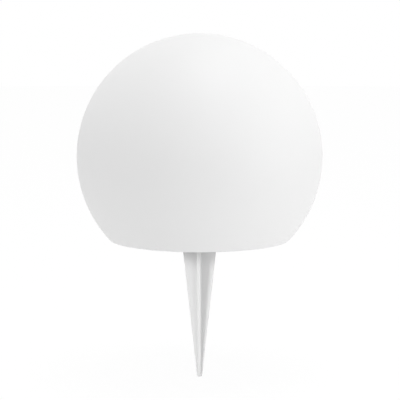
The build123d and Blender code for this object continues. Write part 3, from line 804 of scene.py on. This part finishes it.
can_spot, can_height = (-0.017, -0.022), 0.0035
can_base_radius, can_base = 0.003, 0.0005
can_radius, can_groove_radius, can_top_radius = 0.0028, 0.0026, 0.0024
can_groove_height, can_groove_half, can_lip = 0.001, 0.0002, 0.0003
can_dent, cross_length, cross_width, cross_low = 0.00018, 0.0036, 0.00012, 0.0002
can_foot = (*can_spot, board_top)
can_profile = (
    (0, can_base),
    (can_radius, can_base),
    (can_radius, can_groove_height - can_groove_half),
    (can_groove_radius, can_groove_height - can_groove_half / 2),
    (can_groove_radius, can_groove_height + can_groove_half / 2),
    (can_radius, can_groove_height + can_groove_half),
    (can_radius, can_height - can_lip),
    (can_groove_radius, can_height - small_edge),
    (can_top_radius, can_height - small_edge),
    (can_top_radius - small_edge, can_height - can_dent),
    (0, can_height - can_dent),
)
add(components, disc(can_base_radius, can_base, can_foot), black)
add(components, turned(can_profile, can_foot), can_skin)
for size in ((cross_length, cross_width, small_edge), (cross_width, cross_length, small_edge)):
    add(components, cuboid(size, (*can_spot, board_top + can_height - cross_low)), black)

light_spot = (0.0125, 0.032)
light_base, light_base_edge = (0.0016, 0.0008, 0.0003), 0.00003
light_lens = (0.0011, 0.0008, 0.0004)
light_pad, light_pad_out, light_pad_drop = (0.0002, 0.00078, 0.0003), 0.00068, 0.00034
base_low = board_low - light_base[2]
add(components, cuboid(light_base, (*light_spot, base_low), light_base_edge), case)
lens_foot = (*light_spot, base_low - light_lens[2])
add(components, cuboid(light_lens, lens_foot, small_edge), glow)
for side in (-1, 1):
    spot = (light_spot[0] + side * light_pad_out, light_spot[1], board_low - light_pad_drop)
    add(components, cuboid(light_pad, spot), tin)
small_parts = new_piece(
    "coil_chips_and_can", components, board_finishes, "black_parts", "board_parts"
)
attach(small_parts, "lamp")
finish("board_screws", stainless)

# ---------------------------------------------------------------- battery
# Two round lithium cells in shrink sleeves, one of them upside down, in an open black holder.
# Nickel strip is spot-welded to their ends, and foam discs hold them down.
holder_plastic = moulded("holder_plastic", (0.045, 0.045, 0.047), roughness=0.45, cloud=0.08)
finish("battery_holder", holder_plastic)

cell_low, cell_high, cell_radius, cell_steps = 0.0303, 0.0953, 0.0092, 64
cell_offset = 0.027
half_turn = Matrix.Rotation(pi, 3, "X")
cell_length = cell_high - cell_low
cell_middle = (cell_low + cell_high) / 2
shoulder_radius, groove_radius, groove_height, sleeve_top = 0.0090, 0.0087, 0.0613, 0.0640
end_radius, end_wall = 0.0072, 0.0003
sleeved = (
    (0, 0.0001),
    (0.0073, 0.00005),
    (0.0085, 0.00005),
    (shoulder_radius, 0.0003),
    (cell_radius, 0.0009),
    (cell_radius, groove_height - 0.0009),
    (shoulder_radius, groove_height - 0.0005),
    (groove_radius, groove_height),
    (shoulder_radius, groove_height + 0.0005),
    (cell_radius, groove_height + 0.0009),
    (cell_radius, sleeve_top - 0.0004),
    (shoulder_radius, sleeve_top),
    (0.0086, sleeve_top + 0.00015),
    (0.0071, sleeve_top + 0.00015),
    (0, sleeve_top),
)
paper_ring = ((0.0036, 0.06405), (0.0069, 0.06405), (0.0069, 0.06435), (0.0036, 0.06435))
raised_cap = (
    (0, sleeve_top),
    (0.0042, sleeve_top),
    (0.0042, 0.0642),
    (0.0034, 0.0646),
    (0.0030, cell_length),
    (0, cell_length),
)
sleeve = moulded("cell_sleeve", (0.08, 0.22, 0.45), roughness=0.28, grain=0.0008, cloud=0.05)
can_end = metal("nickelled_steel", (0.64, 0.63, 0.6), roughness=0.32)
ring_paper = moulded("insulating_ring", (0.88, 0.88, 0.84), roughness=0.7, cloud=0.05)
cells = bmesh.new()
for upright, across in ((True, cell_offset), (False, -cell_offset)):
    cell = bmesh.new()
    add(cell, turned(sleeved, (0, 0, 0), cell_steps))
    add(cell, disc(end_radius, end_wall, (0, 0, 0), cell_steps), 1)
    add(cell, turned(paper_ring, (0, 0, 0), cell_steps), 2)
    add(cell, turned(raised_cap, (0, 0, 0), cell_steps), 1)
    bmesh.ops.translate(cell, verts=cell.verts[:], vec=(0, 0, -cell_length / 2))
    if not upright:
        bmesh.ops.rotate(cell, verts=cell.verts[:], cent=(0, 0, 0), matrix=half_turn)
    bmesh.ops.translate(cell, verts=cell.verts[:], vec=(0, across, cell_middle))
    add(cells, cell)
sleeved_cells = new_piece(
    "sleeved_cells", cells, (sleeve, can_end, ring_paper), "cell_sleeve", "battery_cells"
)
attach(sleeved_cells, "lamp")
nickel_strip = metal("nickel_strip", (0.66, 0.65, 0.62), roughness=0.3, streak=(0.08, 1, 1))
finish("cell_tabs", nickel_strip)

pad_low, pad_high, pad_radius, pad_edge = 0.0956, 0.0975, 0.008, 0.0004
bulge = (
    (0, pad_low),
    (pad_radius - pad_edge, pad_low),
    (pad_radius - pad_edge / 3, pad_low + pad_edge),
    (pad_radius, (pad_low + pad_high) / 2),
    (pad_radius - pad_edge / 3, pad_high - pad_edge),
    (pad_radius - pad_edge, pad_high),
    (0, pad_high),
)
cell_foam = moulded(
    "foam", (0.12, 0.12, 0.13), roughness=0.9, grain=0.0005, grain_depth=0.0003, cloud=0.2
)
pads = bmesh.new()
for across in (cell_offset, -cell_offset):
    add(pads, turned(bulge, (0, across, 0)))
foam_discs = new_piece("foam_discs", pads, (cell_foam,), "foam", "cell_pads")
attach(foam_discs, "lamp")
finish("holder_screws", stainless)

# ---------------------------------------------------------------- module housing
# A plain white tub, upside down over the board and battery. A silicone ring lies under its
# flange, and three screws come up into it through the cap.
housing_plastic = moulded("housing_plastic", (0.88, 0.88, 0.88), roughness=0.45, cloud=0.015)
finish("module_housing", housing_plastic)
finish("module_seal", silicone)
finish("housing_screws", stainless)

# ---------------------------------------------------------------- light board
# A rolled aluminium disc takes the heat of a white board on it, with eighteen warm white chips
# in two rings. Each chip is a pale frame round a pool of phosphor, with a tin pad at each end.
rolled_aluminium = metal(
    "rolled_aluminium",
    (0.75, 0.75, 0.77),
    roughness=0.38,
    streak=(0.03, 1, 1),
    streak_scale=1200,
)
finish("heat_spreader", rolled_aluminium)
white_mask, white_track, pale_edge = (0.9, 0.9, 0.88), (0.84, 0.84, 0.81), (0.6, 0.6, 0.5)
board_white = laminate("board_white", "light_board", white_mask, white_track, pale_edge)
finish("light_board", board_white)

chip_foot = 0.1041
chip_length, chip_depth, chip_height = 0.003, 0.0028, 0.0008
chip_rings = ((0.028, 12, 15.0), (0.014, 6, 0.0))
frame_edge = 0.0001
pool_low, pool_radius, pool_rise, pool_steps = 0.0006, 0.00115, 0.00006, 24
end_pad = (0.0003, chip_depth * 0.8, 0.0002)
chip_frame = (chip_length - 0.0004, chip_depth, chip_height - pool_rise)
pool = (
    (0, pool_low),
    (pool_radius, pool_low),
    (pool_radius, chip_height - pool_rise),
    (pool_radius * 0.6, chip_height - pool_rise * 0.3),
    (0, chip_height),
)
chips = bmesh.new()
for circle, count, first in chip_rings:
    for n in range(count):
        chip = bmesh.new()
        add(chip, cuboid(chip_frame, (circle, 0, chip_foot), frame_edge))
        add(chip, turned(pool, (circle, 0, chip_foot), pool_steps), 1)
        for side in (-1, 1):
            spot = (circle + side * (chip_length - end_pad[0]) / 2, 0, chip_foot)
            add(chip, cuboid(end_pad, spot), 2)
        turn = Matrix.Rotation(radians(first + 360 * n / count), 3, "Z")
        bmesh.ops.rotate(chip, verts=chip.verts[:], cent=(0, 0, 0), matrix=turn)
        add(chips, chip)
white_chips = new_piece(
    "warm_white_chips", chips, (pale_case, phosphor, bright_tin), "phosphor", "light_chips"
)
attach(white_chips, "lamp")
finish("light_board_screws", stainless)

# ---------------------------------------------------------------- light cover
# Frosted polycarbonate, moulded as a shallow cup over the chips, which spreads their light. Its
# flange lies on a silicone ring, and three screws hold it to the housing's deck.
polycarbonate_index = 1.58
frosted_cover = clear(
    "frosted_cover",
    (0.93, 0.94, 0.94),
    roughness=0.45,
    frost=0.0005,
    frost_depth=0.00003,
    index=polycarbonate_index,
)
finish("cover_seal", silicone)
finish("light_cover", frosted_cover)
finish("cover_screws", stainless)

# ---------------------------------------------------------------- lead to the light board
# A nylon plug at each end, in a shrouded header, and a bonded twin lead, red and black, that
# bows out a little between them.
plug_x, plug_foot, plug_end = 0.024, board_top, 0.1025
plug_width, plug_depth, plug_height = 0.0076, 0.005, 0.0064
shroud_height, shroud_wall, shroud_edge, overlap = 0.0026, 0.0004, 0.0002, 0.0002
rib_width, rib_edge, rib_overlap = 0.0008, 0.0001, 0.0001
shroud = (plug_width, plug_depth, shroud_height)
upper = (
    plug_width - 2 * shroud_wall,
    plug_depth - 2 * shroud_wall,
    plug_height - shroud_height + overlap,
)
rib = (rib_width, plug_depth, plug_height - shroud_height)
nylon = moulded("nylon", (0.88, 0.87, 0.82), roughness=0.4, cloud=0.02, wax=0.2)
plugs = bmesh.new()
for foot, upside_down in ((plug_foot, False), (plug_end, True)):
    plug = bmesh.new()
    add(plug, cuboid(shroud, (0, 0, 0), shroud_edge))
    add(plug, cuboid(upper, (0, 0, shroud_height - overlap), shroud_edge))
    for side in (-1, 1):
        spot = (side * (plug_width / 2 - rib_width), 0, shroud_height - rib_overlap)
        add(plug, cuboid(rib, spot, rib_edge))
    if upside_down:
        bmesh.ops.rotate(plug, verts=plug.verts[:], cent=(0, 0, 0), matrix=half_turn)
    bmesh.ops.translate(plug, verts=plug.verts[:], vec=(plug_x, 0, foot))
    add(plugs, plug)
nylon_plugs = new_piece("nylon_plugs", plugs, (nylon,), "plug_plastic", "lead_plugs")
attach(nylon_plugs, "lamp")

wire_low, wire_high = plug_foot + plug_height, plug_end - plug_height
wire_straight, wire_bow, wire_steps, wire_sides = 0.013, 0.0022, 28, 24
wire_half_width, wire_half_wall, wire_spacing = 0.00094, 0.00074, 0.00086
bow_low, bow_high = wire_low + wire_straight, wire_high - wire_straight
wire_step = (wire_high - wire_low) / wire_steps
oval = Matrix.Diagonal((wire_half_wall, wire_half_width, 1, 1))
lead = bmesh.new()
for paint, side in enumerate((1, -1)):
    wire = bmesh.new()
    start = Matrix.Translation((plug_x, side * wire_spacing, wire_low))
    bmesh.ops.create_circle(
        wire, cap_ends=True, segments=wire_sides, radius=1, matrix=start @ oval
    )
    top = wire.faces[:]
    bmesh.ops.reverse_faces(wire, faces=top)
    before = 0.0
    for n in range(1, wire_steps + 1):
        share = (wire_low + wire_step * n - bow_low) / (bow_high - bow_low)
        out = wire_bow * (1 - cos(2 * pi * min(1, max(0, share)))) / 2
        grown = bmesh.ops.extrude_face_region(wire, geom=top)["geom"]
        if n > 1:
            bmesh.ops.delete(wire, geom=top, context="FACES_ONLY")
        top = [g for g in grown if isinstance(g, bmesh.types.BMFace)]
        moved = [g for g in grown if isinstance(g, bmesh.types.BMVert)]
        bmesh.ops.translate(wire, verts=moved, vec=(out - before, 0, wire_step))
        before = out
    bmesh.ops.recalc_face_normals(wire, faces=wire.faces[:])
    add(lead, wire, paint)
red_sleeve = moulded(
    "red_sleeve", (0.55, 0.05, 0.05), roughness=0.4, grain=0.0006, grain_depth=0.00001, cloud=0.04
)
black_sleeve = moulded(
    "black_sleeve", (0.03, 0.03, 0.03), roughness=0.4, grain=0.0006, grain_depth=0.00001, cloud=0.1
)
twin_lead = new_piece("twin_lead", lead, (red_sleeve, black_sleeve), "lead_sleeve", "light_lead")
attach(twin_lead, "lamp")
